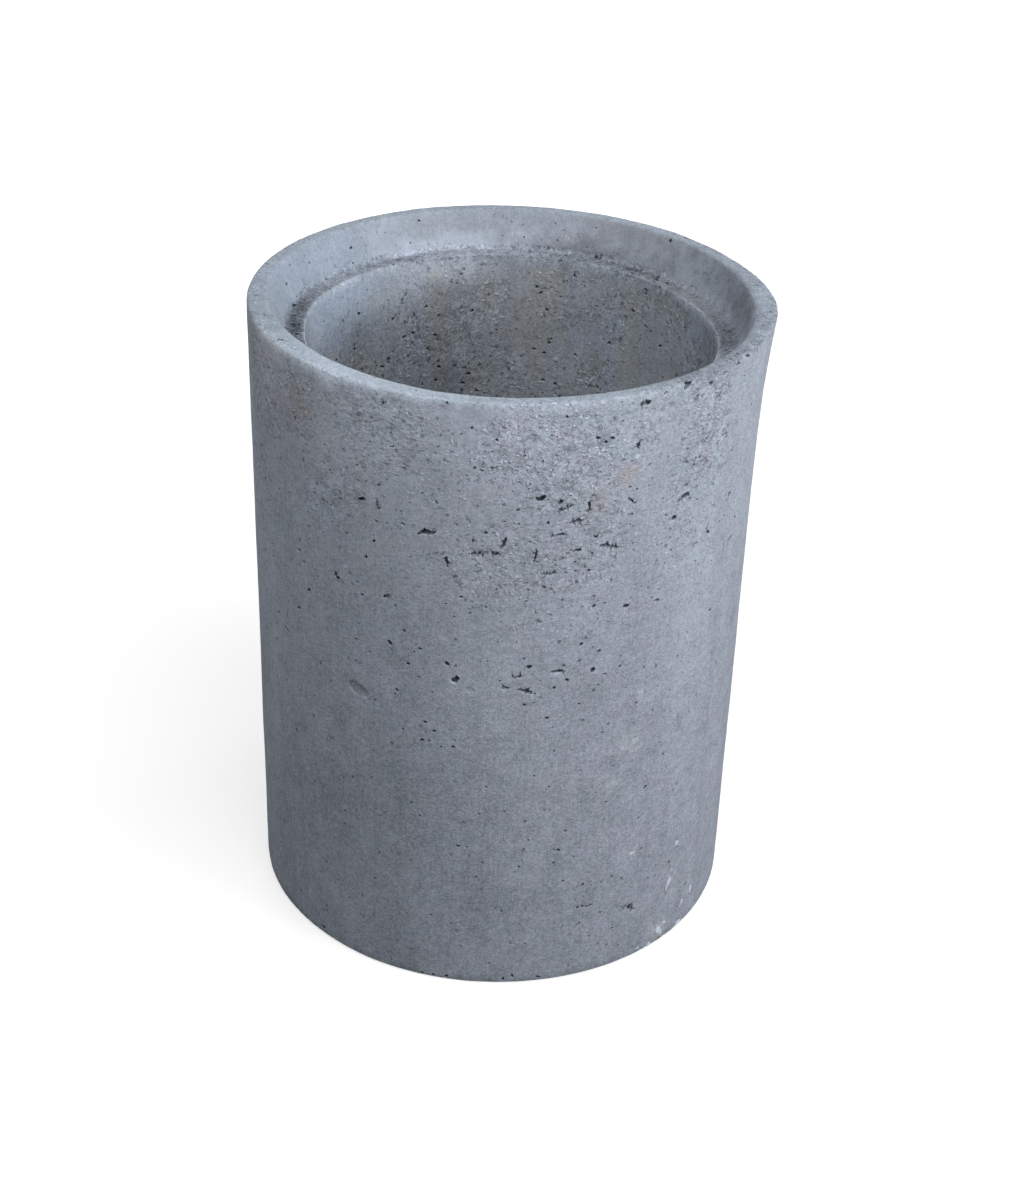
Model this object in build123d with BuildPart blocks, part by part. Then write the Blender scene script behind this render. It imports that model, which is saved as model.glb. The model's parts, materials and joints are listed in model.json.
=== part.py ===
"""Precast concrete manhole section: one cast ring with a joint socket in its top end.

Millimetres, +Z up. The origin is the centre of the base, on the face that it stands on.
"""

from build123d import *
import os

# Nominal sizes of the section
bore_diameter = 400.0
wall_thickness = 50.0
section_height = 650.0

# Joint socket: a tapered rebate that leaves a thin rim around a flat seat
socket_depth = 38.0
rim_width = 14.0
seat_width = 19.0

# Edges, as the mould and handling leave them
rim_outer_rounding = 3.0
rim_inner_rounding = 3.0
seat_root_rounding = 3.0
bore_lip_rounding = 2.5
base_outer_chamfer = 3.0
base_inner_chamfer = 2.0

# Radii and heights that follow
bore_radius = bore_diameter / 2
outside_radius = bore_radius + wall_thickness
socket_mouth_radius = outside_radius - rim_width
socket_seat_radius = bore_radius + seat_width
seat_height = section_height - socket_depth


def inner_corner(sketch, level):
    """Corner of the wall section on the side of the bore, at a height."""
    return sketch.vertices().filter_by_position(Axis.Y, level, level).sort_by(Axis.X)[0]


def outer_corner(sketch, level):
    """Corner of the wall section on the outside, at a height."""
    return sketch.vertices().filter_by_position(Axis.Y, level, level).sort_by(Axis.X)[-1]


# The wall in section, from the bore to the outside, turned about the axis of the shaft
with BuildPart() as manhole_section:
    with BuildSketch(Plane.XZ) as wall_section:
        with BuildLine():
            Polyline(
                (bore_radius, 0),
                (outside_radius, 0),
                (outside_radius, section_height),
                (socket_mouth_radius, section_height),
                (socket_seat_radius, seat_height),
                (bore_radius, seat_height),
                close=True,
            )
        make_face()
        fillet(outer_corner(wall_section, section_height), rim_outer_rounding)
        fillet(inner_corner(wall_section, section_height), rim_inner_rounding)
        fillet(outer_corner(wall_section, seat_height), seat_root_rounding)
        fillet(inner_corner(wall_section, seat_height), bore_lip_rounding)
        chamfer(outer_corner(wall_section, 0), base_outer_chamfer)
        chamfer(inner_corner(wall_section, 0), base_inner_chamfer)
    revolve(axis=Axis.Z)

manhole_section.part.label = "manhole_section"

os.makedirs("parts", exist_ok=True)
export_step(manhole_section.part, "parts/manhole_section.step")
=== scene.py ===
"""Looks of the precast manhole section: its worn concrete skin, the light and the camera.

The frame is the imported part's, +Z up. Lengths are in millimetres, and the ring and the camera are
scaled to metres where they are made. Only the floor and the lamps are given in metres. Azimuths are
0 at the front, where the camera stands, and grow to the right of the photograph.
"""

import json
import math
from dataclasses import dataclass

import bpy
import numpy as np
from mathutils import Matrix, Vector, noise
from mathutils.geometry import delaunay_2d_cdt


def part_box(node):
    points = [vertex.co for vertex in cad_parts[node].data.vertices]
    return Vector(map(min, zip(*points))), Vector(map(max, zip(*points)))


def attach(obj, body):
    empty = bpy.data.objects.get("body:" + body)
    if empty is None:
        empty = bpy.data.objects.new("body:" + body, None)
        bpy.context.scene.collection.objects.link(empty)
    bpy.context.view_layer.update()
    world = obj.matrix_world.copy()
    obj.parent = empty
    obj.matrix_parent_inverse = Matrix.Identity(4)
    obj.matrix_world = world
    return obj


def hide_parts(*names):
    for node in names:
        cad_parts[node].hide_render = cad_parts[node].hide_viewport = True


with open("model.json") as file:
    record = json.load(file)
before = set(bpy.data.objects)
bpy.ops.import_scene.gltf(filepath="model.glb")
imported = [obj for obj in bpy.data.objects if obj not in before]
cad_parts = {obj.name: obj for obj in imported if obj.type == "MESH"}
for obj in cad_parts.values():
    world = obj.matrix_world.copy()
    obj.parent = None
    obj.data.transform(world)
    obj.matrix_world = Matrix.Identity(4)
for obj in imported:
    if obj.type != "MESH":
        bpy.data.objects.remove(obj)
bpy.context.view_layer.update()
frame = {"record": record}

mm = 0.001

# Sizes that the frame gives
_, ring_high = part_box("manhole_section")
outer_radius = ring_high.x / mm
ring_height = ring_high.z / mm
mounts = {mount["name"]: mount for mount in frame["record"]["mounts"]}
bore_radius = mounts["bore"]["dims"]["r_mm"]
seat_height = mounts["seat"]["pos_m"][2] / mm

# Joint socket
rim_width = 14.0
seat_width = 19.0
mouth_radius = outer_radius - rim_width
seat_root_radius = bore_radius + seat_width

# Worn edges
base_outer_rounding = 3.5
rim_outer_rounding = 2.2
mouth_rounding = 1.6
seat_root_rounding = 3.0
bore_lip_rounding = 2.0
base_inner_rounding = 3.0

# The outer wall leans out near its top, on the right of the photograph
flare_reach = 9.15
flare_depth = 63.5
flare_power = 1.3
flare_azimuth = math.radians(87.8)
flare_spread = math.radians(21.8)

# The inner form stood out of true at the front: azimuths, how far inward it stood there at the rim
# and, further down, at the seat, and the depth below the seat over which that fades
form_azimuths = (-2.1, -1.75, -1.5, -1.2, -0.95, -0.6, -0.42, -0.25, 0.0, 0.5, 0.9, 1.2, 1.5, 1.8, 2.1)
form_at_rim = (0, 1.5, 4, 7.5, 8.5, 6.3, 4.8, 1.5, 0.2, 0, -1.8, -3, -2, -0.5, 0)
form_at_seat = (0, 1.5, 4.5, 4.5, 4, 3, 2, 1, 0, -2, -4, -4.5, -4.5, -2, 0)
form_fade = 150.0

# Camera, as the photograph was taken: it looks along +Y and down
photo_width_px = 1017
photo_height_px = 1200
focal_px = 2021.5
camera_place = Vector((0, -1823.8, 1389.2))
camera_pan = math.radians(0.315)
camera_tilt = math.radians(30.686)
camera_roll = math.radians(-1.895)

random = np.random.default_rng(41)


# Camera and what its pixels show

camera_forward = Vector((math.sin(camera_pan) * math.cos(camera_tilt),
                         math.cos(camera_pan) * math.cos(camera_tilt),
                         -math.sin(camera_tilt)))
level_right = Vector((math.cos(camera_pan), -math.sin(camera_pan), 0))
level_down = camera_forward.cross(level_right)
camera_right = level_right * math.cos(camera_roll) + level_down * math.sin(camera_roll)
camera_down = level_down * math.cos(camera_roll) - level_right * math.sin(camera_roll)


def pixel_ray(x, y):
    """Direction in which a pixel of the photograph looks."""
    across = (x - photo_width_px / 2) / focal_px
    below = (y - photo_height_px / 2) / focal_px
    return camera_forward + camera_right * across + camera_down * below


def add_object(name, data):
    made = bpy.data.objects.new(name, data)
    bpy.context.scene.collection.objects.link(made)
    return made


def make_camera():
    data = bpy.data.cameras.new("camera")
    data.sensor_fit = "VERTICAL"
    data.sensor_height = 36.0
    data.lens = focal_px / photo_height_px * data.sensor_height
    turn = Matrix((camera_right, -camera_down, -camera_forward)).transposed().to_4x4()
    camera = add_object("camera", data)
    camera.matrix_world = Matrix.Translation(camera_place * mm) @ turn
    bpy.context.scene.camera = camera


# Section of the ring, walked from the middle of the base: up the outer wall, over the rim, down
# the socket, over the seat, down the bore and back

def heading_vector(angle):
    return Vector((math.cos(angle), math.sin(angle)))


@dataclass
class Face:
    """A straight face: walked lengths of its ends, the place where it starts, and its heading."""
    start: float
    end: float
    place: Vector
    heading: float


def walk_section():
    """Dense points (walked length, radius, height, heading), the faces by name, and the length."""
    corners = [
        ("base_outside", outer_radius, 0.0, base_outer_rounding),
        ("wall", outer_radius, ring_height, rim_outer_rounding),
        ("rim", mouth_radius, ring_height, mouth_rounding),
        ("socket", seat_root_radius, seat_height, seat_root_rounding),
        ("seat", bore_radius, seat_height, bore_lip_rounding),
        ("bore", bore_radius, 0.0, base_inner_rounding),
    ]
    arc_parts = 12
    start = Vector(((outer_radius + bore_radius) / 2, 0.0))
    stops = [start] + [Vector(corner[1:3]) for corner in corners] + [start]
    steps = [b - a for a, b in zip(stops, stops[1:])]
    headings = [0.0]
    for before, after in zip(steps, steps[1:]):
        headings.append(headings[-1] + before.angle_signed(after) * -1)
    here, walked, rows, faces = start, 0.0, [], {}
    for i, (name, radius, level, rounding) in enumerate(corners):
        heading, turn = headings[i], headings[i + 1] - headings[i]
        side = math.copysign(rounding, turn)
        arc_start = Vector((radius, level)) - heading_vector(heading) * rounding * math.tan(abs(turn) / 2)
        run = (arc_start - here).length
        faces[name] = Face(walked, walked + run, here, heading)
        rows.append((walked, *here, heading))
        walked += run
        centre = arc_start + heading_vector(heading + math.pi / 2) * side
        for part in range(arc_parts + 1):
            angle = heading + turn * part / arc_parts
            here = centre - heading_vector(angle + math.pi / 2) * side
            rows.append((walked + rounding * abs(turn) * part / arc_parts, *here, angle))
        walked += rounding * abs(turn)
    rows.append((walked, *here, headings[-1]))
    length = walked + (start - here).length
    faces["base_inside"] = Face(walked, length, here, headings[-1])
    rows.append((length, *start, headings[-1]))
    return np.array(rows), faces, length


def along_face(name, share):
    """Walked length at a share of a face."""
    start, end = faces[name].start, faces[name].end
    return start + (end - start) * share


section, faces, section_length = walk_section()
# The skin is unrolled to the width that it has outside, u across and s along the section
unrolled_width = 2 * math.pi * outer_radius


def section_at(walked):
    """Radius, height and heading of the section at walked lengths."""
    return [np.interp(walked, section[:, 0], section[:, column]) for column in (1, 2, 3)]


def ease(low, high, value):
    share = np.clip((value - low) / (high - low), 0, 1)
    return share * share * (3 - 2 * share)


def within(stretch, value):
    """1 inside a stretch and 0 outside. It gives where it starts, is full, leaves off and ends."""
    starts, full_from, full_to, ends = stretch
    return ease(starts, full_from, value) * ease(ends, full_to, value)


def bell(middle, width, value):
    return np.exp(-((value - middle) / width) ** 2)


def flare_at(azimuth, radius, level):
    """How far outward the wall leans near its top."""
    below_top = np.maximum(ring_height - level, 0)
    swing = (azimuth - flare_azimuth + math.pi) % (2 * math.pi) - math.pi
    share = np.clip((radius - mouth_radius) / rim_width, 0, 1)
    fade = np.exp(-(below_top / flare_depth) ** flare_power) * bell(0, flare_spread, swing)
    return flare_reach * share * fade


def drift_at(azimuth, radius, level):
    """How far inward the inner form stood out of true."""
    share = np.clip((outer_radius - radius) / rim_width, 0, 1)
    below_rim = np.maximum(ring_height - level, 0)
    deep = ease(0, ring_height - seat_height, below_rim)
    at_rim = np.interp(azimuth, form_azimuths, form_at_rim)
    at_seat = np.interp(azimuth, form_azimuths, form_at_seat)
    fade = bell(0, form_fade, np.maximum(seat_height - level, 0))
    return share * fade * (at_rim * (1 - deep) + at_seat * deep)


# Rounds in which a ray settles on a face whose radius changes with the place
ray_rounds = 6


def meet_round(x, y, radius_at, far):
    """Azimuth and height at which a pixel's ray meets a round face."""
    ray = pixel_ray(x, y)
    azimuth, level = 0.0, seat_height
    for _ in range(ray_rounds):
        a = ray.x ** 2 + ray.y ** 2
        b = camera_place.x * ray.x + camera_place.y * ray.y
        c = camera_place.x ** 2 + camera_place.y ** 2 - radius_at(azimuth, level) ** 2
        root = math.sqrt(max(b * b - a * c, 0))
        point = camera_place + ray * ((root if far else -root) - b) / a
        azimuth, level = math.atan2(point.x, -point.y), point.z
    return azimuth, level


def wall_radius(azimuth, level):
    return outer_radius + float(flare_at(azimuth, outer_radius, level))


def socket_radius(azimuth, level):
    share = (level - seat_height) / (ring_height - seat_height)
    return seat_root_radius + (mouth_radius - seat_root_radius) * share


def locate(face, x, y):
    """Azimuth and walked length of the point of a face that a pixel of the photograph shows."""
    if face == "wall":
        azimuth, level = meet_round(x, y, wall_radius, far=False)
        radius = outer_radius
    elif face == "bore":
        azimuth, level = meet_round(x, y, lambda azimuth, level: bore_radius, far=True)
        radius = bore_radius
    elif face == "socket":
        azimuth, level = meet_round(x, y, socket_radius, far=True)
        radius = socket_radius(azimuth, level)
    else:
        ray = pixel_ray(x, y)
        level = ring_height if face == "rim" else seat_height
        point = camera_place + ray * ((level - camera_place.z) / ray.z)
        azimuth, radius = math.atan2(point.x, -point.y), math.hypot(point.x, point.y)
    found = faces[face]
    offset = Vector((radius, level)) - found.place
    return azimuth, found.start + offset.dot(heading_vector(found.heading))


# Marks: voids, tears, chips and pale specks of the skin

@dataclass
class Mark:
    """A mark, with its half-sizes, its turn, how much its outline wavers, and how dark its painted shade
    is, or how pale below 0, for a pale fleck."""
    azimuth: float
    walked: float
    across: float
    along: float
    turn: float
    depth: float
    ragged: float = 0.2
    hollow: float = 1.0


# Half-sizes in pixels, and the listed pixels of the photograph, by face and by half-size
small_void = (1.35, 1.05)
medium_void = (2.0, 1.55)
large_void = (2.9, 2.35)
broad_void = (4.4, 3.5)

wall_small_px = [
    (315, 493), (317, 484), (323, 500), (330, 470), (347, 468), (357, 465), (387, 523), (437, 503),
    (401, 511), (304, 562), (352, 584), (268, 449), (268, 453), (261, 474), (332, 522), (370, 442),
    (382, 444), (492, 452), (475, 468), (452, 452), (459, 491), (571, 496), (557, 437), (580, 518),
    (566, 523), (530, 542), (555, 560), (585, 567), (589, 570), (575, 562), (584, 559), (575, 571),
    (528, 590), (505, 428), (540, 428), (543, 461), (557, 456), (529, 489), (519, 482), (519, 524),
    (623, 421), (688, 449), (696, 458), (687, 462), (694, 465), (726, 437), (717, 444), (735, 517),
    (696, 543), (670, 538), (671, 550), (630, 487), (632, 514), (592, 553), (446, 604), (279, 612),
    (395, 606), (356, 639), (470, 613), (454, 617), (486, 607), (414, 652), (419, 677), (356, 661),
    (395, 694), (375, 700), (403, 729), (429, 741), (441, 747), (331, 738), (594, 596), (605, 603),
    (710, 610), (498, 642), (524, 659), (579, 661), (620, 666), (644, 667), (605, 674), (598, 685),
    (500, 681), (534, 703), (579, 704), (636, 703), (554, 751), (534, 776), (549, 787), (486, 787),
    (608, 724), (663, 754), (420, 816), (379, 853), (467, 847), (476, 877), (479, 814), (375, 878),
    (431, 915), (345, 811), (301, 890), (565, 831), (606, 802), (638, 818), (528, 840), (519, 867),
    (563, 881), (579, 923), (612, 928), (589, 936), (669, 862), (685, 884), (687, 485), (637, 489),
    (269, 368), (254, 353),
]
wall_medium_px = [
    (379, 485), (403, 524), (374, 541), (366, 557), (299, 550), (309, 590), (362, 595), (497, 440),
    (447, 403), (472, 428), (492, 468), (473, 541), (486, 533), (518, 510), (567, 499), (567, 417),
    (548, 523), (596, 537), (544, 587), (461, 597), (729, 495), (708, 532), (730, 538), (595, 537),
    (460, 598), (299, 608), (287, 629), (404, 631), (420, 649), (408, 664), (397, 690), (425, 722),
    (434, 731), (422, 740), (453, 747), (598, 438), (606, 442), (613, 438), (602, 445), (594, 606),
    (657, 600), (581, 644), (599, 651), (567, 680), (554, 688), (524, 705), (547, 718), (645, 787),
    (458, 846), (558, 850),
]
wall_large_px = [
    (362, 499), (561, 502), (590, 498), (674, 518), (447, 664), (390, 643), (626, 606), (529, 667),
    (593, 670), (585, 909),
]
wall_broad_px = [(541, 499), (684, 497), (455, 680)]

# Tears and cracks: two ends and a half-width
wall_tears_px = [
    (418, 535, 434, 530, 2.2), (336, 571, 336, 579, 1.5), (381, 597, 391, 596, 1.0),
    (377, 499, 377, 508, 0.9), (501, 548, 507, 540, 1.6), (507, 540, 518, 535, 1.1),
    (521, 508, 537, 501, 0.8), (590, 501, 589, 510, 1.2), (602, 545, 616, 547, 1.5),
    (469, 554, 482, 554, 1.0), (489, 554, 501, 555, 1.0), (552, 535, 566, 535, 1.1),
    (571, 550, 583, 551, 0.9), (536, 551, 535, 561, 1.0), (543, 574, 556, 574, 0.9),
    (546, 672, 568, 671, 0.9), (514, 689, 537, 694, 1.0), (500, 688, 512, 688, 0.9),
    (512, 677, 523, 677, 0.9), (639, 441, 638, 450, 1.2), (629, 497, 634, 504, 1.0),
    (620, 907, 636, 908, 0.8), (579, 908, 592, 904, 0.9), (447, 556, 446, 566, 1.3),
    (447, 567, 455, 571, 1.0), (559, 512, 572, 506, 0.9), (569, 524, 586, 519, 1.0),
    (379, 405, 387, 402, 0.7),
]
# Broken spots along the outer edge of the rim and along the foot
edge_chips_px = [
    (652, 397), (666, 393), (680, 390), (711, 383), (725, 373), (738, 364),
    (748, 356), (433, 975), (422, 973), (446, 976), (512, 976), (538, 977), (503, 979), (323, 927),
]
broad_chips_px = [(688, 385), (646, 403)]
# Shallow beds of pebbles: pixel and half-size in pixels
imprints_px = [
    (358, 689, (10.0, 6.5)), (452, 667, (3.6, 3.0)), (657, 607, (4.0, 3.4)), (455, 561, (6.5, 5.5)),
    (470, 690, (4.0, 3.0)), (335, 505, (4.0, 3.0)),
]
# Pale flecks, bright and faint: pixel and half-size in pixels
flecks_px = [
    (659, 931, (2.0, 6.5)), (677, 925, (3.6, 3.4)), (683, 914, (2.2, 3.0)), (668, 884, (1.6, 5.0)),
    (677, 843, (1.3, 4.0)), (690, 889, (1.3, 3.0)), (672, 937, (2.6, 2.0)), (648, 944, (2.2, 1.4)),
    (632, 853, (2.2, 1.6)), (681, 903, (1.2, 3.2)), (693, 908, (1.2, 2.0)), (664, 922, (1.3, 1.3)),
    (637, 948, (1.2, 1.2)),
]
faint_flecks_px = [
    (634, 741, (4.0, 2.4)), (614, 783, (3.0, 3.0)), (641, 692, (2.2, 1.8)), (352, 461, (4.0, 1.4)),
    (366, 463, (2.6, 1.4)), (343, 470, (1.4, 3.0)), (312, 487, (3.0, 1.6)), (350, 552, (3.0, 1.3)),
    (345, 566, (1.6, 3.0)), (622, 748, (3.2, 1.4)), (351, 445, (2.2, 1.2)), (380, 446, (2.0, 1.2)),
    (395, 410, (3.4, 1.6)), (404, 520, (3.4, 1.3)), (528, 672, (3.4, 1.2)), (366, 432, (2.0, 1.2)),
]
bore_voids_px = [
    (426, 307), (393, 319), (404, 337), (435, 335), (413, 333), (439, 367), (468, 374), (463, 383),
    (511, 304), (508, 323), (389, 359), (382, 367), (359, 314), (472, 311), (549, 343), (534, 349),
    (544, 353), (575, 355), (543, 380), (555, 384), (646, 327), (660, 346), (609, 343), (633, 311),
    (575, 276), (547, 310), (506, 323), (646, 290), (537, 287), (541, 293), (651, 274), (660, 276),
    (477, 391), (436, 380),
]
socket_voids_px = [(351, 248), (292, 306), (285, 284), (505, 223)]
rim_voids_px = [(255, 311), (669, 238)]


# A mark near the outline of its face looks narrow: it is made no larger than this, in millimetres
# for each pixel of its half-size
widest_mm_per_px = 2.2
turn_spread = 0.5
tear_mm_per_px = 1.3
tear_depth_share = 1.4
tear_ragged = 0.4


def pixel_mark(face, x, y, half_px, depth_share, **kind):
    """A mark centred on a pixel, as large as half_px shows it."""
    azimuth, walked = locate(face, x, y)
    side, _ = locate(face, x + half_px[0], y)
    _, below = locate(face, x, y + half_px[1])
    radius = section_at(walked)[0]
    across = min(abs(side - azimuth) * radius, widest_mm_per_px * half_px[0])
    along = min(abs(below - walked), widest_mm_per_px * half_px[1])
    turn = random.uniform(-turn_spread, turn_spread)
    return Mark(azimuth, walked, across, along, turn, depth_share * min(across, along), **kind)


def alike_marks(face, pixels, half_px, depth_share, **kind):
    return [pixel_mark(face, x, y, half_px, depth_share, **kind) for x, y in pixels]


def sized_marks(face, entries, depth_share, **kind):
    """Marks whose pixels come with half-sizes of their own."""
    return [pixel_mark(face, x, y, half_px, depth_share, **kind) for x, y, half_px in entries]


def pixel_tear(x0, y0, x1, y1, half_px):
    """A tear in the outer wall between two pixels."""
    azimuth0, walked0 = locate("wall", x0, y0)
    azimuth1, walked1 = locate("wall", x1, y1)
    run, rise = (azimuth1 - azimuth0) * outer_radius, walked1 - walked0
    half_width = tear_mm_per_px * half_px
    return Mark((azimuth0 + azimuth1) / 2, (walked0 + walked1) / 2, math.hypot(run, rise) / 2,
                half_width, math.atan2(rise, run), tear_depth_share * half_width, ragged=tear_ragged)


def shown_marks():
    """The marks that the photograph shows. Those offered first keep their place."""
    marks = alike_marks("wall", wall_broad_px, broad_void, 1.0, ragged=0.28)
    marks += [pixel_tear(*tear) for tear in wall_tears_px]
    marks += alike_marks("wall", wall_large_px, large_void, 1.2)
    marks += alike_marks("wall", wall_medium_px, medium_void, 1.2)
    marks += alike_marks("wall", wall_small_px, small_void, 1.2)
    marks += sized_marks("wall", imprints_px, 0.12, ragged=0.1, hollow=0.45)
    marks += alike_marks("wall", broad_chips_px, broad_void, 0.7, ragged=0.35)
    marks += alike_marks("wall", edge_chips_px, medium_void, 0.8, ragged=0.3)
    marks += sized_marks("wall", flecks_px, 0.02, ragged=0.35, hollow=-1.0)
    marks += sized_marks("wall", faint_flecks_px, 0.02, ragged=0.35, hollow=-0.4)
    marks += alike_marks("bore", bore_voids_px, medium_void, 1.3)
    marks += alike_marks("socket", socket_voids_px, medium_void, 1.2)
    marks += alike_marks("rim", rim_voids_px, medium_void, 1.2)
    return marks


def face_extent(face):
    """Walked lengths at which a face starts and at which the next one does."""
    order = list(faces)
    return faces[face].start, faces[order[order.index(face) + 1]].start


# Marks strewn over a face: how many, the share of its length that they keep to, smallest and largest
# half-height, greatest width for a height, and whether they keep to the side that the photograph hides
strewn = [
    ("wall", 280, (0.02, 0.98), 0.9, 2.8, 1.7, True),
    ("wall", 150, (0.02, 0.98), 0.7, 1.1, 1.6, False),
    ("wall", 260, (0.66, 0.98), 0.6, 1.0, 3.0, False),
    ("bore", 330, (0.02, 0.6), 0.7, 1.9, 1.6, False),
    ("bore", 90, (0.6, 0.98), 0.9, 2.4, 1.6, False),
    ("socket", 50, (0.05, 0.95), 0.7, 1.2, 1.5, False),
    ("seat", 55, (0.02, 0.98), 0.7, 1.4, 1.6, False),
    ("rim", 40, (0.05, 0.95), 0.7, 1.1, 1.5, False),
]
# Azimuth from which the photograph hides the wall
hidden_from = 1.35
# Usual turn of a strewn mark, and the least and most of its depth for its half-height and of how
# much its outline wavers
scattered_turn = 0.35
scattered_depths = (0.8, 1.4)
scattered_ragged = (0.1, 0.25)


def scattered_marks(face, count, extent, half_low, half_high, stretch, hidden_side):
    """Marks of one sort, more small ones than large ones."""
    first, last = face_extent(face)
    marks = []
    while len(marks) < count:
        azimuth = random.uniform(-math.pi, math.pi)
        if hidden_side and abs(azimuth) < hidden_from:
            continue
        walked = first + (last - first) * random.uniform(*extent)
        half = half_low * (half_high / half_low) ** (random.random() ** 2)
        wide = half * random.uniform(1.0, stretch)
        turn = random.normal(0, scattered_turn)
        depth = half * random.uniform(*scattered_depths)
        ragged = random.uniform(*scattered_ragged)
        marks.append(Mark(azimuth, walked, wide, half, turn, depth, ragged=ragged))
    return marks


# Room that a mark keeps free: share of its half-width and margin for its neighbours, and the same
# for the seams of the unrolled skin, where no mark lies
neighbour_share = 1.45
neighbour_margin = 0.4
seam_share = 1.6
seam_margin = 4.0


class Roster:
    """The marks that found room. A mark holds the skin under a few circles along its length."""

    def __init__(self):
        self.marks = []
        self.circles = np.zeros((0, 3))

    def footprint(self, mark):
        radius = float(section_at(mark.walked)[0])
        long_half, short_half = max(mark.across, mark.along), min(mark.across, mark.along)
        angle = mark.turn if mark.across >= mark.along else mark.turn + math.pi / 2
        parts = max(1, round(long_half / short_half))
        spots = np.linspace(-1, 1, parts) * (long_half - short_half) if parts > 1 else np.zeros(1)
        u = (mark.azimuth * radius + spots * math.cos(angle)) * outer_radius / radius
        s = mark.walked + spots * math.sin(angle)
        reach = short_half * neighbour_share + neighbour_margin
        return np.column_stack([u, s, np.full(len(spots), reach)])

    def offer(self, marks):
        for mark in marks:
            circles = self.footprint(mark)
            reach = max(mark.across, mark.along) * seam_share + seam_margin
            if abs(mark.azimuth) * outer_radius > unrolled_width / 2 - reach:
                continue
            if not reach < mark.walked < section_length - reach:
                continue
            gaps = np.hypot(circles[:, None, 0] - self.circles[None, :, 0],
                            circles[:, None, 1] - self.circles[None, :, 1])
            if np.any(gaps < circles[:, None, 2] + self.circles[None, :, 2]):
                continue
            self.marks.append(mark)
            self.circles = np.vstack([self.circles, circles])


# Rings of points that shape a mark, from its centre to just past its lip: share of its radius,
# share of its depth and share of its count of points
ring_shares = [(0.0, 1.0, 0.0), (0.5, 1.0, 0.5), (0.86, 0.9, 1.0), (1.0, 0.0, 1.0), (1.32, 0.0, 1.0)]
# Points round a mark: how many for a millimetre of its girth, fewest and most
sides_per_mm, fewest_sides, most_sides = 1.2, 7, 18
# How far the bottom of a mark lies above its middle, as a share of its half-height
bottom_rise = 0.4
# How strong the painted highlight on the lower lip of a mark is, and the depth from which a mark's
# painted shade is full
painted_lip_highlight = 0.45
dark_depth = 1.1
# Room round a mark that the points of the plain skin leave free
clear_share = 1.5
clear_margin = 0.7


def mark_points(mark):
    """Rows (u, s, depth, painted shading and flecks) that shape one mark: painted shade inside and a
    painted highlight on its lower lip. Its bottom lies high, under a steep upper lip.
    """
    radius, _, heading = [float(value) for value in section_at(mark.walked)]
    rise = bottom_rise * mark.along * math.sin(heading)
    girth = mark.across + mark.along
    sides = int(np.clip(round(girth * sides_per_mm) + 4, fewest_sides, most_sides))
    phases = random.uniform(0, 2 * math.pi, 3)
    rows = []
    for radius_share, depth_share, count_share in ring_shares:
        count = max(1, round(sides * count_share))
        angles = 2 * math.pi * (np.arange(count) + 0.5 * (count_share == 0.5)) / count
        waves = sum(np.cos(k * angles + phase) / (k - 1) for k, phase in zip((2, 3, 5), phases))
        outline = radius_share * (1 + mark.ragged * waves)
        x, y = mark.across * outline * np.cos(angles), mark.along * outline * np.sin(angles)
        u = mark.azimuth * outer_radius + (
            x * math.cos(mark.turn) - y * math.sin(mark.turn)) * outer_radius / radius
        s = mark.walked + x * math.sin(mark.turn) + y * math.cos(mark.turn)
        s = s + rise * max(0.0, 1 - radius_share)
        upward = np.sin(angles) * math.sin(heading) if count > 1 else np.zeros(1)
        fullness = min(mark.depth / dark_depth, 1.0) if mark.hollow > 0 else 1.0
        # Painted shade inside the mark, darkest under its upper side, and a painted highlight on its
        # lower lip where light from above falls; below 0 the pale colour of a fleck
        hollow = depth_share * (0.8 + 0.25 * upward)
        if radius_share == 1.0:
            hollow = -painted_lip_highlight * np.maximum(-upward, 0)
        hollow = hollow * mark.hollow * fullness
        rows += [(a, b, mark.depth * depth_share, c) for a, b, c in zip(u, s, hollow)]
    return rows


# Relief of the skin between the marks

# Size of the features of each noise over the skin, and its seed
noises = {
    "patches": (60, 3), "patch_edges": (22, 4), "edge_wear": (9, 5),
    "waves": (120, 11), "dents": (35, 12), "ripples": (12, 13), "grit": (7.5, 14),
    "edge_nicks": (8, 15), "edge_breaks": (22, 16), "lip_nicks": (9, 17), "lip_breaks": (20, 18),
    "blotches": (11, 21), "rim_wear": (9, 22), "rim_wander": (28, 23),
}
seed_shift = Vector((17.3, 5.1, 9.7))


def noise_at(places, name):
    """One of the noises, about -0.7 to 0.7."""
    size, seed = noises[name]
    return np.array([noise.noise(Vector(place) / size + seed_shift * seed) for place in places])


def places_at(azimuth, radius, level):
    return np.column_stack([radius * np.sin(azimuth), -radius * np.cos(azimuth), level])


# Patches of the wall that lost their smooth skin: pixel, half-sizes in millimetres and share
crumbled_px = [
    (545, 455, 75, 75, 1.0), (375, 432, 62, 48, 0.85), (335, 485, 48, 48, 0.6), (706, 432, 42, 66, 0.95),
    (645, 432, 36, 40, 0.7), (520, 560, 95, 42, 0.65), (590, 545, 40, 50, 0.7), (300, 420, 40, 40, 0.5),
    (440, 470, 40, 60, 0.35), (560, 620, 60, 36, 0.35), (690, 520, 50, 60, 0.4), (262, 385, 50, 70, 0.8),
    (300, 372, 40, 40, 0.75), (262, 470, 40, 60, 0.55),
]


# On the hidden side, heights and azimuths over which crumbled patches set in
hidden_crumble_levels = (395, 500)
hidden_crumble_azimuths = (1.25, 1.5)
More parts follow.
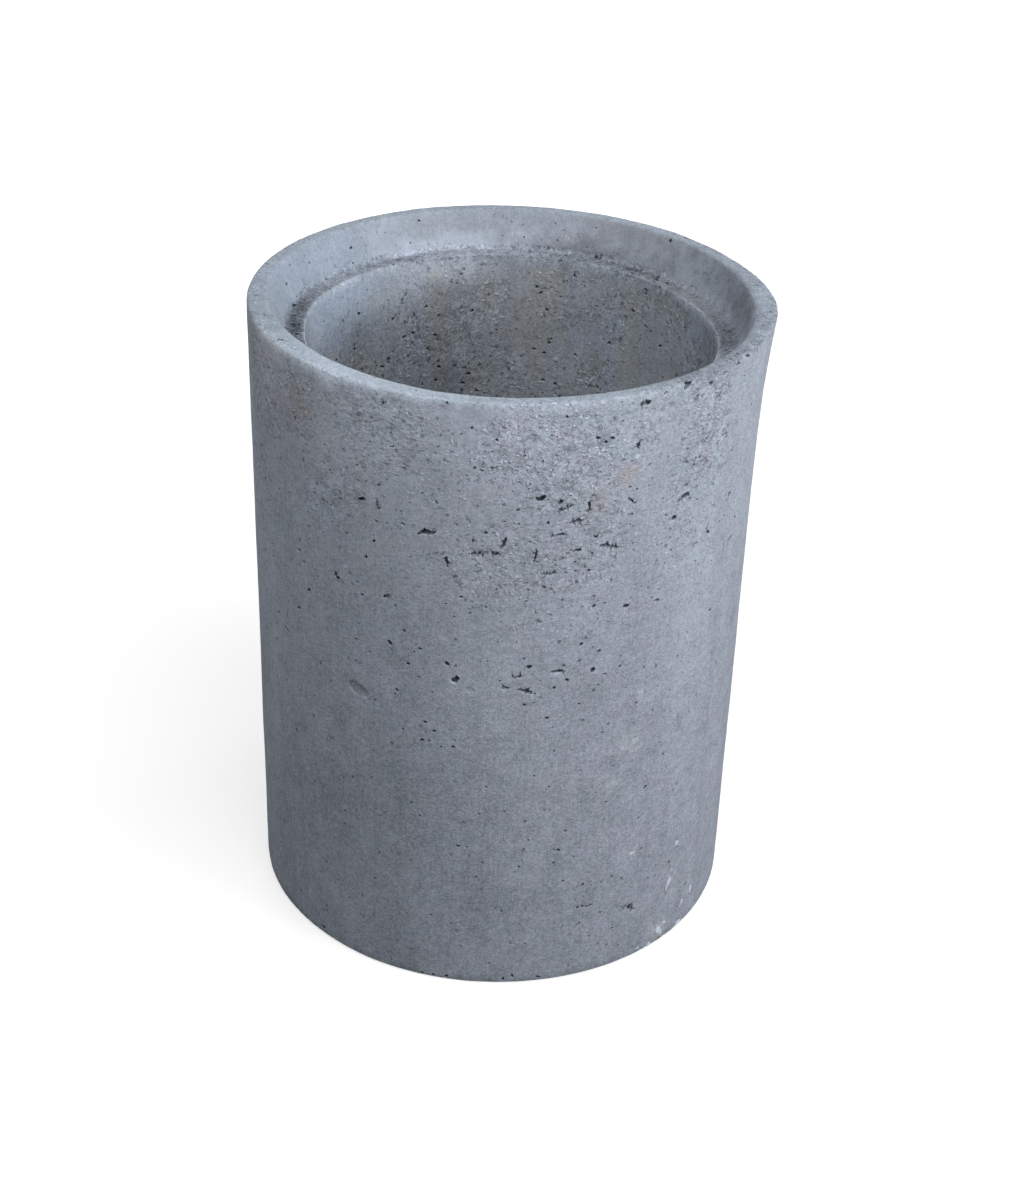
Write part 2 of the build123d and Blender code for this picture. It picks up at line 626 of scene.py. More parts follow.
# Stretches of azimuth along the outer edge of the rim, the rim, the lip of the bore, where it has a
# painted highlight, and the root of the seat, where it has painted shade: where each starts, is full,
# leaves off and ends
worn_edge_right = (0.3, 0.7, 2.0, 2.4)
worn_edge_left = (-1.9, -1.5, -0.6, -0.3)
rough_edge_front = (0.25, 0.7, 1.1, 1.6)
dark_rim_right = (0.35, 0.75, 1.9, 2.6)
lip_highlight_right = (1.0, 1.3, 2.0, 2.2)
lip_highlight_left = (-2.8, -2.5, -1.3, -1.0)
shaded_root_left = (-2.8, -2.5, -1.6, -1.3)


def from_rim_edge(walked):
    """Walked distance from the outer edge of the rim, a little past the end of the wall."""
    return np.abs(walked - along_face("wall", 1.0) - 4)


def crumble_at(azimuth, walked):
    """0 where the skin is smooth, 1 where its sand lies bare."""
    radius, level, _ = section_at(walked)
    places = places_at(azimuth, radius, level)
    patches = noise_at(places, "patches") + 0.6 * noise_at(places, "patch_edges")
    # Patches that the photograph shows, and like ones near the top of the hidden side
    shown = np.zeros(len(places))
    for x, y, across, up, share in crumbled_px:
        centre, centre_walked = locate("wall", x, y)
        reach = np.hypot((azimuth - centre) * outer_radius / across, (walked - centre_walked) / up)
        shown = np.maximum(shown, share * ease(1.35, 0.45, reach + 0.5 * patches))
    hidden = ease(-0.2, 0.3, patches) * ease(*hidden_crumble_levels, level)
    hidden *= ease(*hidden_crumble_azimuths, np.abs(azimuth))
    outside = ease(outer_radius - 8, outer_radius - 3, radius)
    outside = outside * (walked < along_face("wall", 1.0) + 6)
    outside = outside * (1 - 0.5 * ease(ring_height - 14, ring_height - 6, level))
    # Bare sand in the bore, but less of it under the lip at the back left
    below_lip = walked - faces["bore"].start
    in_bore = ease(2, 14, below_lip) * (0.2 + 0.6 * ease(-0.35, 0.35, patches))
    back_left = ease(0.55, 0.25, np.abs(azimuth + 2.0) / 1.3)
    in_bore *= 1 - 0.75 * back_left * ease(90, 60, below_lip)
    # Worn edge of the rim, on the right and less on the left
    on_edge = ease(9, 4, from_rim_edge(walked))
    on_edge = on_edge * ease(-0.35, 0.25, noise_at(places, "edge_wear"))
    worn = within(worn_edge_right, azimuth) + 0.7 * within(worn_edge_left, azimuth)
    # Seat, rough at the back and on the left
    on_seat = (walked > along_face("socket", 0.9)) & (walked < faces["bore"].start)
    seat_wear = 0.1 + 0.7 * ease(-0.3, -0.8, np.cos(azimuth))
    seat_wear = np.maximum(seat_wear, 0.6 * ease(-0.6, -1.0, azimuth))
    whole = np.maximum(shown, hidden) * outside + in_bore + seat_wear * on_seat
    return np.maximum(whole, on_edge * worn * 0.75)


# Rows of skin points from the middle of the base on: face and share of it where a band of rows ends,
# step between rows and step along a row
bands = [
    ("base_outside", 1.0, 10.0, 10.0), ("wall", 0.0, 1.6, 5.0), ("wall", 0.61, 9.0, 9.0),
    ("wall", 1.0, 6.0, 6.0), ("rim", 0.0, 1.5, 3.8), ("rim", 1.0, 1.5, 3.8), ("socket", 0.0, 1.5, 3.8),
    ("socket", 0.1, 2.0, 3.8), ("socket", 0.9, 4.0, 4.4), ("socket", 1.0, 2.0, 3.8),
    ("seat", 0.0, 1.6, 3.8), ("seat", 1.0, 2.8, 3.8), ("bore", 0.0, 1.5, 3.8), ("bore", 0.45, 8.0, 8.0),
    ("bore", 1.0, 11.0, 11.0), ("base_inside", 0.0, 1.6, 6.0), ("base_inside", 1.0, 10.0, 10.0),
]
# Finer points where the wall has crumbled: their step, the crumble from which they are laid, and
# the shares of the wall between which they lie
fine_step = 2.9
fine_from = 0.5
fine_extent = (0.6, 0.985)
# How far points are strewn from their even places, as shares of their step: along a row, between
# rows that are not closer than a limit, and between the rows of the fine patches
strewn_along = 0.18
strewn_between = 0.15
strewn_from_step = 2
strewn_fine = 0.2
# Share of a step that a row leaves free before the seam, and the step of the points on the seams
# that run round the ring
seam_gap = 0.3
seam_step = 10.0


def row_points(walked, step, shift):
    """Points of one row round the ring, from seam to seam. The seam is at the back."""
    count = round(unrolled_width / step)
    spread = (np.arange(1, count) + (0.5 if shift else 0.0)) / count
    spread = spread[spread < 1 - seam_gap / count]
    u = (spread - 0.5) * unrolled_width + random.uniform(-strewn_along, strewn_along, len(spread)) * step
    return np.column_stack([u, np.full(len(u), walked)])


def skin_points():
    """Points (u, s) of the plain skin, without those on the seams, and where its rows lie."""
    points, rows, start = [], [], 0.0
    for face, share, row_step, column_step in bands:
        end = along_face(face, share)
        count = max(1, round((end - start) / row_step))
        for i in range(count):
            walked = start + (end - start) * i / count
            if walked > 0:
                row = row_points(walked, column_step, i % 2)
                shifts = random.uniform(-strewn_between, strewn_between, len(row)) * row_step
                row[:, 1] += shifts * (row_step > strewn_from_step)
                points.append(row)
            rows.append(walked)
        start = end
    coarse = np.vstack(points)
    start, end = [along_face("wall", share) for share in fine_extent]
    levels = enumerate(np.arange(start, end, fine_step))
    fine = np.vstack([row_points(walked, fine_step, i % 2) for i, walked in levels])
    fine[:, 1] += random.uniform(-strewn_fine, strewn_fine, len(fine)) * fine_step
    fine = fine[np.abs(fine[:, 0]) < unrolled_width / 2 - fine_step]
    crumbled = crumble_at(fine[:, 0] / outer_radius, fine[:, 1]) > fine_from
    in_wall = (coarse[:, 1] > start) & (coarse[:, 1] < end)
    replaced = np.zeros(len(coarse), bool)
    replaced[in_wall] = crumble_at(coarse[in_wall, 0] / outer_radius, coarse[in_wall, 1]) > fine_from
    return np.vstack([coarse[~replaced], fine[crumbled]]), rows


def clear_of_marks(points, marks):
    """Which points no mark holds."""
    free = np.ones(len(points), bool)
    for mark in marks:
        radius = float(section_at(mark.walked)[0])
        x = (points[:, 0] - mark.azimuth * outer_radius) * radius / outer_radius
        y = points[:, 1] - mark.walked
        # Only points in rows near the mark are measured
        near = np.abs(y) < max(mark.across, mark.along) * 2 + 3
        cos, sin = math.cos(mark.turn), math.sin(mark.turn)
        long_share = (x[near] * cos + y[near] * sin) / (mark.across * clear_share + clear_margin)
        short_share = (y[near] * cos - x[near] * sin) / (mark.along * clear_share + clear_margin)
        free[near] &= long_share ** 2 + short_share ** 2 > 1
    return free


def seam_points(rows):
    """Points on the four sides of the unrolled skin, the same on opposite sides."""
    half = unrolled_width / 2
    columns = np.linspace(-half, half, round(unrolled_width / seam_step) + 1)
    sides = [(side, walked) for walked in rows[1:] for side in (-half, half)]
    ends = [(u, walked) for u in columns for walked in (0.0, section_length)]
    return np.array(sides + ends)


def unrolled_skin(marks):
    """Points (u, s, depth, painted shading and flecks) of the unrolled skin."""
    free, rows = skin_points()
    free = free[clear_of_marks(free, marks)]
    plain = np.vstack([free, seam_points(rows)])
    plain = np.column_stack([plain, np.zeros((len(plain), 2))])
    shaped = np.array([row for mark in marks for row in mark_points(mark)])
    return np.vstack([plain, shaped])


def raise_skin(skin):
    """Places in space, in millimetres, and the crumble of the unrolled points."""
    azimuth, walked, depth = skin[:, 0] / outer_radius, skin[:, 1], skin[:, 2]
    radius, level, heading = section_at(walked)
    crumble = crumble_at(azimuth, walked)
    smooth = places_at(azimuth, radius, level)
    relief = 0.45 * noise_at(smooth, "waves") + 0.25 * noise_at(smooth, "dents")
    relief += 0.12 * noise_at(smooth, "ripples")
    relief += crumble * (0.45 * noise_at(smooth * (0.8, 0.8, 1.2), "grit") - 0.15)
    # Rim edge, roughest at the front right
    edge = 1 - ease(1, 9, from_rim_edge(walked))
    rough_edge = 0.35 + 0.65 * within(rough_edge_front, azimuth)
    broken = 0.4 * noise_at(smooth, "edge_nicks") + 0.9 * noise_at(smooth, "edge_breaks") - 0.1
    relief += edge * rough_edge * broken
    relief -= depth
    # Broken lip of the bore at the back
    lip = 1 - ease(1, 8, np.abs(walked - faces["bore"].start + 1))
    lip = lip * ease(-0.5, -0.85, np.cos(azimuth))
    broken = 1.1 * noise_at(smooth, "lip_nicks") + 0.9 * noise_at(smooth, "lip_breaks") - 0.2
    relief += lip * broken
    radius = radius + flare_at(azimuth, radius, level) - drift_at(azimuth, radius, level)
    radius = radius + relief * np.sin(heading)
    level = level - relief * np.cos(heading)
    level = np.where(level < 0, 0, level)
    return places_at(azimuth, radius, level), crumble


# Stains, and patches of painted light and shade: face, pixel, half-sizes in millimetres, and how brown,
# dark and pale they are. Below 0 a stain is cool in place of brown, or light in place of dark
stains_and_shading_px = {
    "wall": [
        (302, 402, 15, 12, 0.3, 0.15, 0), (629, 474, 9, 13, 0.32, 0, 0), (598, 500, 9, 14, 0.3, 0, 0),
        (679, 727, 7, 14, 0, 0.5, 0), (690, 769, 8, 10, 0, 0.35, 0), (480, 403, 100, 9, 0, -0.3, 0),
        (640, 396, 70, 7, 0, -0.3, 0), (631, 742, 17, 10, 0, 0, 0.4), (614, 783, 9, 10, 0, 0, 0.3),
        (641, 692, 4, 4, 0, 0, 0.6), (672, 880, 7, 30, 0, 0, 0.35), (656, 928, 15, 10, 0, 0, 0.6),
        (690, 870, 8, 45, 0, 0, 0.35), (632, 854, 4, 6, 0, 0, 0.5), (272, 375, 75, 60, 0.18, 0.06, 0),
        (360, 436, 52, 50, 0, -0.5, 0), (535, 450, 90, 45, 0, -0.4, 0),
        (690, 700, 22, 200, 0, -0.25, 0), (520, 500, 60, 40, 0, -0.1, 0),
        (502, 424, 34, 20, 0, -0.3, 0), (290, 560, 30, 90, 0, 0.12, 0), (330, 800, 60, 50, 0, 0.12, 0),
        (470, 905, 50, 30, 0, 0.12, 0), (505, 690, 16, 110, 0, -0.12, 0), (725, 372, 45, 9, 0, 0.35, 0),
        (604, 440, 10, 7, 0, 1.1, 0), (385, 402, 60, 16, 0, -0.4, 0), (325, 375, 50, 14, 0, -0.3, 0),
        (268, 355, 34, 40, 0, -0.8, 0), (470, 430, 60, 26, 0, -0.2, 0), (360, 440, 55, 50, 0, 0, 0.26),
        (378, 530, 34, 60, 0, 0, 0.2), (256, 480, 14, 60, 0, 0.25, 0),
    ],
    # Painted shade on the left of the seat and in its pocket on the right, beside brown stains and
    # lighter and darker patches at the back
    "seat": [
        (296, 325, 80, 16, -0.2, 0.5, 0), (728, 340, 60, 25, 0, 0.5, 0),
        (690, 290, 60, 20, 0.3, 0.1, 0), (715, 318, 20, 10, 0.15, 0, 0),
        (340, 275, 60, 10, 0, -0.35, 0), (505, 256, 80, 16, 0, 0.5, 0), (590, 258, 70, 16, 0, 0.9, 0),
        (655, 272, 50, 14, 0.1, 0.8, 0), (645, 267, 45, 20, 0, 0.9, 0), (410, 262, 30, 10, 0, 0.5, 0),
        (482, 256, 40, 14, 0, -0.5, 0), (440, 257, 40, 12, 0, -0.4, 0), (728, 340, 50, 20, 0, 0.12, 0),
    ],
    # Painted light on the left and back left of the socket wall and painted shade on its right and back
    # right, beside pale streaks and brown and cool stains
    "socket": [
        (525, 234, 18, 3, 0, 0, 0.6), (565, 238, 13, 3, 0, 0, 0.8), (745, 325, 70, 30, 0, 0.5, 0),
        (530, 236, 60, 9, 0, -0.5, 0), (640, 232, 80, 20, 0.15, 0.3, 0), (360, 240, 70, 14, 0, -0.2, 0),
        (735, 290, 110, 20, 0, 0.75, 0), (575, 246, 55, 12, 0.1, 1.0, 0),
        (445, 244, 80, 12, 0, -1.0, 0), (300, 270, 130, 40, -0.4, 0, 0),
        (650, 264, 45, 11, 0.05, 0.6, 0),
    ],
    # Painted light on the upper left of the bore, a painted shadow below it on the lower left, painted
    # shade on the right and back right, beside brown stains, dark spots and lighter patches under the lip
    "bore": [
        (345, 348, 80, 40, 0, 0.7, 0), (395, 372, 110, 110, 0, 0.6, 0), (325, 310, 70, 40, 0, -0.4, 0),
        (385, 285, 75, 34, 0, -0.7, 0), (500, 305, 90, 60, 0.1, 0.15, 0), (520, 320, 50, 60, 0.2, 0, 0),
        (657, 274, 13, 4, 0, 0.7, 0), (539, 290, 7, 9, 0, 0.7, 0), (335, 300, 90, 60, -0.4, -0.3, 0),
        (445, 270, 60, 14, 0, -1.0, 0), (650, 278, 40, 12, 0, 0.6, 0), (665, 290, 40, 20, 0, 0.3, 0),
        (590, 292, 70, 14, 0, -0.3, 0), (680, 288, 26, 14, 0, 0.4, 0),
        (705, 335, 60, 70, -0.1, 0.18, 0), (470, 268, 50, 12, 0, -0.5, 0),
    ],
    "rim": [
        (262, 300, 150, 20, -0.15, 0.12, 0),
    ],
}


def zones_at(walked, places):
    """1 inside the ring, and 1 on its rim, whose colour ends raggedly on the wall."""
    mouth = along_face("rim", 1.0)
    inside = ease(mouth + 0.5, mouth + 3, walked) * (walked < faces["base_inside"].start)
    azimuth = np.arctan2(places[:, 0], -places[:, 1])
    wear = along_face("wall", 1.0) + 7 * noise_at(places, "rim_wear")
    wear += 5 * noise_at(places, "rim_wander")
    wear -= 7 * bell(-0.8, 0.45, azimuth)
    rim = ease(wear - 1, wear + 1.5, walked)
    return inside, rim * (1 - ease(mouth + 0.5, mouth + 3, walked))


def stains_and_shading_at(skin, places):
    """How brown, how dark and how pale the skin is at its points, from stains and from painted light and
    shade.
    """
    azimuth, walked = skin[:, 0] / outer_radius, skin[:, 1]
    shades = np.zeros((3, len(skin)))
    dark = shades[1]
    blotch = noise_at(places, "blotches")
    # Painted shade on the seat, darkest on the left and right
    on_seat = ease(along_face("socket", 0.93), faces["seat"].start - 1, walked)
    on_seat *= ease(faces["bore"].start - 1, faces["bore"].start - 4, walked)
    dark += on_seat * (0.15 + 0.85 * np.sin(azimuth) ** 2 + 0.3 * blotch)
    # Painted highlight along the lip of the bore on the left and right; at the back the lip is made
    # darker
    lip_highlight_share = within(lip_highlight_right, azimuth) + within(lip_highlight_left, azimuth)
    dark -= (1.3 * lip_highlight_share - 0.5) * bell(-1, 2, walked - faces["bore"].start) * (1 + blotch)
    # Painted shade along the root of the seat, in its corner on the left
    root_shade = within(shaded_root_left, azimuth) * bell(6, 5, walked - faces["seat"].start)
    dark += 0.35 * root_shade * (1 + blotch)
    # Rim, light at the front left and darker on the right
    on_rim = zones_at(walked, places)[1]
    right_side = within(dark_rim_right, azimuth)
    front_right, front_left = bell(0.95, 0.4, azimuth), bell(-0.7, 0.4, azimuth)
    dark += on_rim * (0.1 + 0.2 * right_side + 0.75 * front_right - 0.8 * front_left)
    dark += 0.4 * on_rim * right_side * blotch
    for face, stain_and_shading_rows in stains_and_shading_px.items():
        first, last = face_extent(face)
        on_face = ease(first - 1.5, first + 1.5, walked) * ease(last + 1.5, last - 1.5, walked)
        for x, y, across, along, *shares in stain_and_shading_rows:
            centre, centre_walked = locate(face, x, y)
            sideward = (skin[:, 0] - centre * outer_radius) / across
            reach = np.hypot(sideward, (walked - centre_walked) / along)
            fade = ease(1.5, 0.3, reach + 0.5 * blotch)
            shades += np.outer(shares, fade * on_face)
    return shades


def join_seams(skin):
    """For each unrolled point, the point that stands for it once the skin is closed."""
    half = unrolled_width / 2
    u = np.where(np.isclose(skin[:, 0], half), -half, skin[:, 0])
    s = np.where(np.isclose(skin[:, 1], section_length), 0.0, skin[:, 1])
    keys = np.round(np.column_stack([u, s]), 3)
    _, first, stand_in = np.unique(keys, axis=0, return_index=True, return_inverse=True)
    return first[stand_in.ravel()]


# Points of the skin closer than this become one, and edges bent more than this stay sharp
merge_distance = 1e-5
sharp_angle = math.radians(40)
# What the points of the mesh tell the material
field_names = ("hollow", "crumble", "inside", "rim", "brown", "dark", "pale")


def make_ring():
    roster = Roster()
    roster.offer(shown_marks())
    for sort in strewn:
        roster.offer(scattered_marks(*sort))
    skin = unrolled_skin(roster.marks)
    places, crumble = raise_skin(skin)
    flat = [Vector(point) for point in skin[:, :2]]
    _, _, triangles, origin, _, _ = delaunay_2d_cdt(flat, [], [], 0, merge_distance, True)
    first_origin = np.array([group[0] for group in origin])
    corners = first_origin[np.array(triangles)]
    stand_in = join_seams(skin)
    used, closed = np.unique(stand_in[corners], return_inverse=True)
    closed = closed.reshape(corners.shape)
    mesh = bpy.data.meshes.new("concrete_ring")
    mesh.from_pydata(places[used] * mm, [], closed)
    fields = [skin[:, 3], crumble, *zones_at(skin[:, 1], places), *stains_and_shading_at(skin, places)]
    for name, values in zip(field_names, fields):
        layer = mesh.attributes.new(name, "FLOAT", "POINT")
        layer.data.foreach_set("value", values[used].astype(np.float32))
    layer = mesh.uv_layers.new(name="OFBake")
    shares = np.column_stack([skin[:, 0] / unrolled_width + 0.5, skin[:, 1] / section_length])
    layer.data.foreach_set("uv", shares[corners.ravel()].astype(np.float32).ravel())
    mesh.polygons.foreach_set("use_smooth", np.ones(len(mesh.polygons), bool))
    mesh.update()
    mesh.set_sharp_from_angle(angle=sharp_angle)
    print("skin:", len(roster.marks), "marks,", len(used), "points,", len(mesh.polygons), "triangles")
    return add_object("concrete_ring", mesh)


# Concrete

class ShaderGraph:
    """Adds linked nodes to a material or a world."""

    def __init__(self, owner, shader):
        owner.use_nodes = True
        self.tree = owner.node_tree
        self.shader = self.tree.nodes[shader]

    def use_places(self):
        """Places on the skin, in millimetres."""
        place = self.node("TexCoord", {}).outputs["Object"]
        self.place = self.node("VectorMath", {0: place, "Scale": 1 / mm}, operation="SCALE").outputs[0]

    def lengthen(self, share, level):
        """Make features taller where share is 1, without moving those at a level."""
        axes = self.node("SeparateXYZ", {0: self.place}).outputs
        above = self.maths("SUBTRACT", axes[2], level)
        squeezed = self.times(above, self.gain(1.0, share, -0.3))
        raised = self.maths("ADD", squeezed, level)
        self.place = self.node("CombineXYZ", {0: axes[0], 1: axes[1], 2: raised}).outputs[0]

    def node(self, kind, inputs, **settings):
        made = self.tree.nodes.new("ShaderNode" + kind)
        for name, value in settings.items():
            setattr(made, name, value)
        for name, value in inputs.items():
            if isinstance(value, bpy.types.NodeSocket):
                self.tree.links.new(value, made.inputs[name])
            else:
                made.inputs[name].default_value = value
        return made

    def maths(self, operation, first, second, third=0.0):
        return self.node("Math", {0: first, 1: second, 2: third}, operation=operation).outputs[0]

    def times(self, first, second):
        return self.maths("MULTIPLY", first, second)

    def wire(self, value, socket):
        self.tree.links.new(value, self.shader.inputs[socket])

    def attribute(self, name):
        return self.node("Attribute", {}, attribute_name=name).outputs["Fac"]

    def stretched(self, across, up, seed):
        """Coordinates in which one unit is so wide and so high on the skin."""
        return self.node("VectorMath", {0: self.place, 1: (1 / across, 1 / across, 1 / up),
                                        2: (seed * 7.1, seed * 3.3, seed * 5.7)},
                         operation="MULTIPLY_ADD").outputs[0]

    def noise(self, across, up, detail, roughness, seed):
        """Noise from 0 to 1 with features so wide and so high."""
        return self.node("TexNoise", {"Vector": self.stretched(across, up, seed), "Scale": 1.0,
                                      "Detail": detail, "Roughness": roughness}).outputs["Fac"]

    def step(self, value, low, high):
        """0 at low and 1 at high, smooth between them."""
        return self.node("MapRange", {"Value": value, "From Min": low, "From Max": high},
                         interpolation_type="SMOOTHSTEP").outputs["Result"]

    def sway(self, total, value, amount, mask=None):
        """total, moved up or down by at most about amount as value goes from 0 to 1."""
        swing = self.maths("SUBTRACT", value, 0.5)
        if mask is not None:
            swing = self.times(swing, mask)
        return self.maths("MULTIPLY_ADD", swing, 2 * amount, total)

    def gain(self, total, value, amount):
        """total plus amount times value."""
        return self.maths("MULTIPLY_ADD", value, amount, total)

    def build_up(self, total, sways, gains):
        """total with all its sways (value, amount, mask) and its gains (value, amount)."""
        for value, amount, mask in sways:
            total = self.sway(total, value, amount, mask)
        for value, amount in gains:
            total = self.gain(total, value, amount)
        return total

    def mix(self, share, first, second):
        made = self.node("Mix", {0: share}, data_type="RGBA")
        for socket, value in ((made.inputs[6], first), (made.inputs[7], second)):
            if isinstance(value, bpy.types.NodeSocket):
                self.tree.links.new(value, socket)
            else:
                socket.default_value = (*value, 1)
        return made.outputs[2]


wall_colour = (0.328, 0.352, 0.418)
wall_green = (0.313, 0.356, 0.416)
rim_colour = (0.322, 0.369, 0.434)
inside_colour = (0.328, 0.363, 0.425)
pale_colour = (0.56, 0.58, 0.61)
stain_colour = (0.302, 0.267, 0.243)
earth_colour = (0.335, 0.338, 0.312)
cool_colour = (0.265, 0.352, 0.455)
skin_roughness = 0.88
skin_specular = 0.08
darkest_tone = 0.07


def grain_cells(graph, across, up, seed, swirl=0.0):
    """Distance from the middle of grain-like cells, and three lucks from 0 to 1 for each cell."""
    place = graph.stretched(across, up, seed)
    if swirl:
        bend = graph.node("TexNoise", {"Vector": place, "Scale": 0.8, "Detail": 1.0}).outputs["Color"]
        place = graph.node("VectorMath", {0: bend, 1: (swirl, swirl, swirl), 2: place},
                           operation="MULTIPLY_ADD").outputs[0]
    cells = graph.node("TexVoronoi", {"Vector": place, "Scale": 1.0})
    lucks = graph.node("SeparateColor", {0: cells.outputs["Color"]}).outputs
    return cells.outputs["Distance"], lucks[0], lucks[1], lucks[2]


def small_voids(graph, cell, seed, share):
    """1 in the air voids too small for the mesh: cells of the given size, in some of which one lies."""
    distance, luck, _, _ = grain_cells(graph, cell, cell, seed)
    reach = graph.times(graph.maths("SUBTRACT", luck, 1 - share), 0.2 / share)
    return graph.step(graph.maths("SUBTRACT", reach, distance), 0.0, 0.07)


def concrete():
    material = bpy.data.materials.new("concrete")
    graph = ShaderGraph(material, "Principled BSDF")
    graph.use_places()
    hollow, crumble, inside, rim, brown, dark, pale = [graph.attribute(name) for name in field_names]
    smooth = graph.maths("SUBTRACT", 1.0, crumble)
    height = graph.node("SeparateXYZ", {0: graph.place}).outputs[2]
    above_seat = graph.times(inside, graph.step(height, seat_height + 1, seat_height + 6))
    coarse = graph.gain(1.0, above_seat, -0.55)
    graph.lengthen(inside, ring_height)

    # Layers of noise, from broad to fine
    clouds = graph.noise(110, 170, 3, 0.5, 1)
    blotches = graph.noise(24, 20, 3, 0.6, 10)
    streaks = graph.noise(18, 260, 3, 0.6, 2)
    drag = graph.noise(1.5, 26, 2, 0.6, 3)
    mottle = graph.noise(7, 6, 3, 0.6, 4)
    sand = graph.noise(1.0, 0.9, 2, 0.7, 5)
    _, speck_luck, _, _ = grain_cells(graph, 1.9, 1.6, 12)
    # Bare sand: grains that stand out or are gone, torn and flaked skin
    clusters = graph.noise(17, 12, 2, 0.5, 14)
    grain_reach, raise_luck, sink_luck, grain_light = grain_cells(graph, 4.3, 3.4, 6, 1.6)
    loose = graph.sway(crumble, clusters, 0.5, crumble)
    raised = graph.step(graph.gain(raise_luck, loose, 0.45), 0.99, 1.09)
    raised = graph.times(graph.step(grain_reach, 0.56, 0.28), raised)
    sunk = graph.step(graph.gain(sink_luck, loose, 0.15), 0.99, 1.03)
    sunk = graph.times(graph.step(grain_reach, 0.52, 0.34), sunk)
    torn_reach = graph.gain(graph.noise(5.0, 3.6, 4, 0.7, 7), crumble, -0.105)
    torn = graph.step(graph.sway(torn_reach, clusters, 0.22), 0.31, 0.27)
    voids = graph.maths("MAXIMUM", small_voids(graph, 10, 8, 0.45), small_voids(graph, 5.5, 9, 0.25))
    voids = graph.times(voids, coarse)
    flaked = graph.times(crumble, graph.step(graph.noise(13, 8, 4, 0.65, 20), 0.495, 0.465))
    sunken = graph.maths("MAXIMUM", graph.maths("MAXIMUM", torn, sunk), voids)

    # How light the skin is: its own tone, with painted shade in pits, torn skin and marks, a painted
    # highlight on the lower lips of marks, and the painted light and shade that come with the stains
    pit_shade = graph.maths("MAXIMUM", sunk, voids)
    tone = graph.build_up(1.0, [
        (clouds, 0.20, None), (blotches, 0.18, None), (streaks, 0.10, None), (drag, 0.16, smooth),
        (mottle, 0.16, None), (sand, 0.60, coarse), (speck_luck, 0.16, coarse),
        (grain_light, 0.20, crumble),
    ], [
        (crumble, 0.09), (raised, 0.33), (torn, -0.12), (flaked, -0.03), (pit_shade, -0.42), (dark, -0.35),
        (hollow, -0.98),
    ])
    # The wall gets darker towards its foot
    darker_towards_foot = graph.times(graph.step(height, 560, 60), graph.maths("SUBTRACT", 1.0, inside))
    tone = graph.gain(tone, darker_towards_foot, -0.2)
    tone = graph.maths("MAXIMUM", tone, darkest_tone)

    # Colour: wall, inside and rim, earth washed into the bore, cool and brown stains, pale smears
    hue = graph.step(graph.noise(26, 22, 3, 0.6, 17), 0.35, 0.65)
    colour = graph.mix(inside, graph.mix(hue, wall_colour, wall_green), inside_colour)
    colour = graph.mix(rim, colour, rim_colour)
    earth = graph.times(graph.step(graph.noise(24, 70, 3, 0.6, 18), 0.34, 0.62), inside)
    earth = graph.times(earth, graph.step(height, seat_height - 3, seat_height - 16))
    cool = graph.times(brown, -1.0)
    earth = graph.times(earth, graph.step(cool, 0.3, 0.0))
    colour = graph.mix(graph.times(earth, 0.42), colour, earth_colour)
    colour = graph.mix(cool, colour, cool_colour)
    grit = graph.step(graph.noise(5, 4, 2, 0.6, 21), 0.36, 0.62)
    brown = graph.times(brown, graph.gain(0.4, grit, 1.2))
    colour = graph.mix(brown, colour, stain_colour)
    colour = graph.node("VectorMath", {0: colour, "Scale": tone}, operation="SCALE").outputs[0]
    smear = graph.times(pale, graph.step(graph.noise(1.8, 6, 3, 0.7, 13), 0.46, 0.60))
    colour = graph.mix(smear, colour, pale_colour)
    graph.wire(colour, "Base Color")

    # Relief
    lumps = graph.noise(9, 7, 3, 0.6, 19)
    relief = graph.build_up(0.0, [
        (mottle, 0.25, coarse), (sand, 0.24, coarse), (drag, 0.05, smooth), (lumps, 0.6, crumble),
    ], [
        (raised, 0.7), (flaked, -0.7), (sunken, -0.9),
    ])
    bump = graph.node("Bump", {"Height": relief, "Distance": mm, "Strength": 1.0})
    graph.wire(bump.outputs["Normal"], "Normal")
    rough = graph.sway(skin_roughness, mottle, 0.08)
    graph.wire(rough, "Roughness")
    graph.shader.inputs["Specular IOR Level"].default_value = skin_specular
    return material


# Floor and light

floor_reach = 12.0
# Colour to the camera and as a source of bounced light, glow near the ring and what is added far off
floor_seen = (0.50, 0.50, 0.50)
floor_bounce = (0.35, 0.35, 0.35)
floor_glow = 0.60
far_floor_glow = 0.34


def sees_background(graph):
    """1 for rays from the camera, and for those that a mirror or a glass sends on."""
    rays = graph.node("LightPath", {}).outputs
    seen = graph.maths("MAXIMUM", rays["Is Camera Ray"], rays["Is Glossy Ray"])
    return graph.maths("MAXIMUM", seen, rays["Is Transmission Ray"])


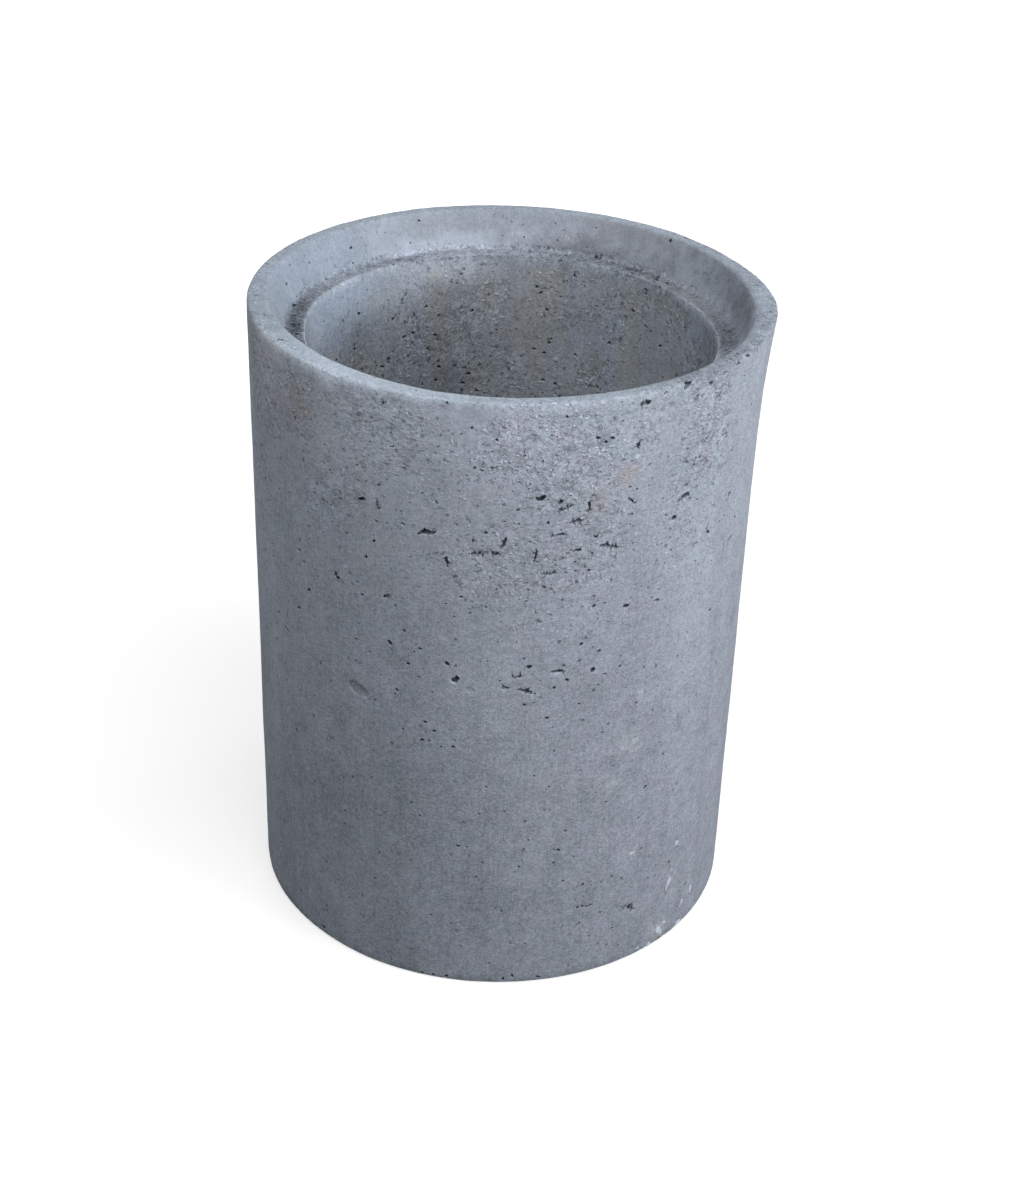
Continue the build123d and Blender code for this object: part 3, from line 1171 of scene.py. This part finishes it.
def floor_material():
    """White as a background, outside the ring, and darker as a source of bounced light."""
    material = bpy.data.materials.new("floor")
    graph = ShaderGraph(material, "Principled BSDF")
    graph.use_places()
    graph.shader.inputs["Roughness"].default_value = 0.95
    graph.shader.inputs["Emission Color"].default_value = (1, 1, 1, 1)
    seen = sees_background(graph)
    graph.wire(graph.mix(seen, floor_bounce, floor_seen), "Base Color")
    away = graph.node("VectorMath", {0: graph.place}, operation="LENGTH").outputs["Value"]
    glow = graph.gain(floor_glow, graph.step(away, 900, 3200), far_floor_glow)
    glow = graph.times(glow, graph.step(away, bore_radius, outer_radius))
    graph.wire(graph.times(seen, glow), "Emission Strength")
    return material


def make_floor():
    mesh = bpy.data.meshes.new("floor")
    corners = [(x * floor_reach, y * floor_reach, 0) for x, y in ((-1, -1), (1, -1), (1, 1), (-1, 1))]
    mesh.from_pydata(corners, [], [(0, 1, 2, 3)])
    mesh.materials.append(floor_material())
    add_object("floor", mesh)


# Lamps: azimuth from the front, elevation and watts
lamps = {
    "key": (60, 15, 49),
    "high": (20, 65, 40),
    "left_fill": (-60, 40, 15),
    "back_fill": (120, 40, 12),
    "back": (195, 12, 22),
}
lamp_distance = 2.8
lamp_width = 1.4
lamp_aim = Vector((0, 0, 0.45))
world_strength = 0.22


def make_light():
    world = bpy.data.worlds.new("studio")
    bpy.context.scene.world = world
    graph = ShaderGraph(world, "Background")
    graph.shader.inputs["Color"].default_value = (1, 1, 1, 1)
    graph.wire(graph.maths("MAXIMUM", world_strength, sees_background(graph)), "Strength")
    for name, (azimuth, elevation, watts) in lamps.items():
        data = bpy.data.lights.new(name, "AREA")
        data.shape = "DISK"
        data.size = lamp_width
        data.energy = watts
        turn, rise = math.radians(azimuth), math.radians(elevation)
        level_part = math.cos(rise)
        toward = Vector((math.sin(turn) * level_part, -math.cos(turn) * level_part, math.sin(rise)))
        lamp = add_object(name, data)
        lamp.location = lamp_aim + toward * lamp_distance
        lamp.rotation_euler = toward.to_track_quat("Z", "Y").to_euler()


make_camera()
ring = make_ring()
ring.data.materials.append(concrete())
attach(ring, "root")
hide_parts("manhole_section")
make_floor()
make_light()
bpy.context.scene.view_settings.view_transform = "Standard"
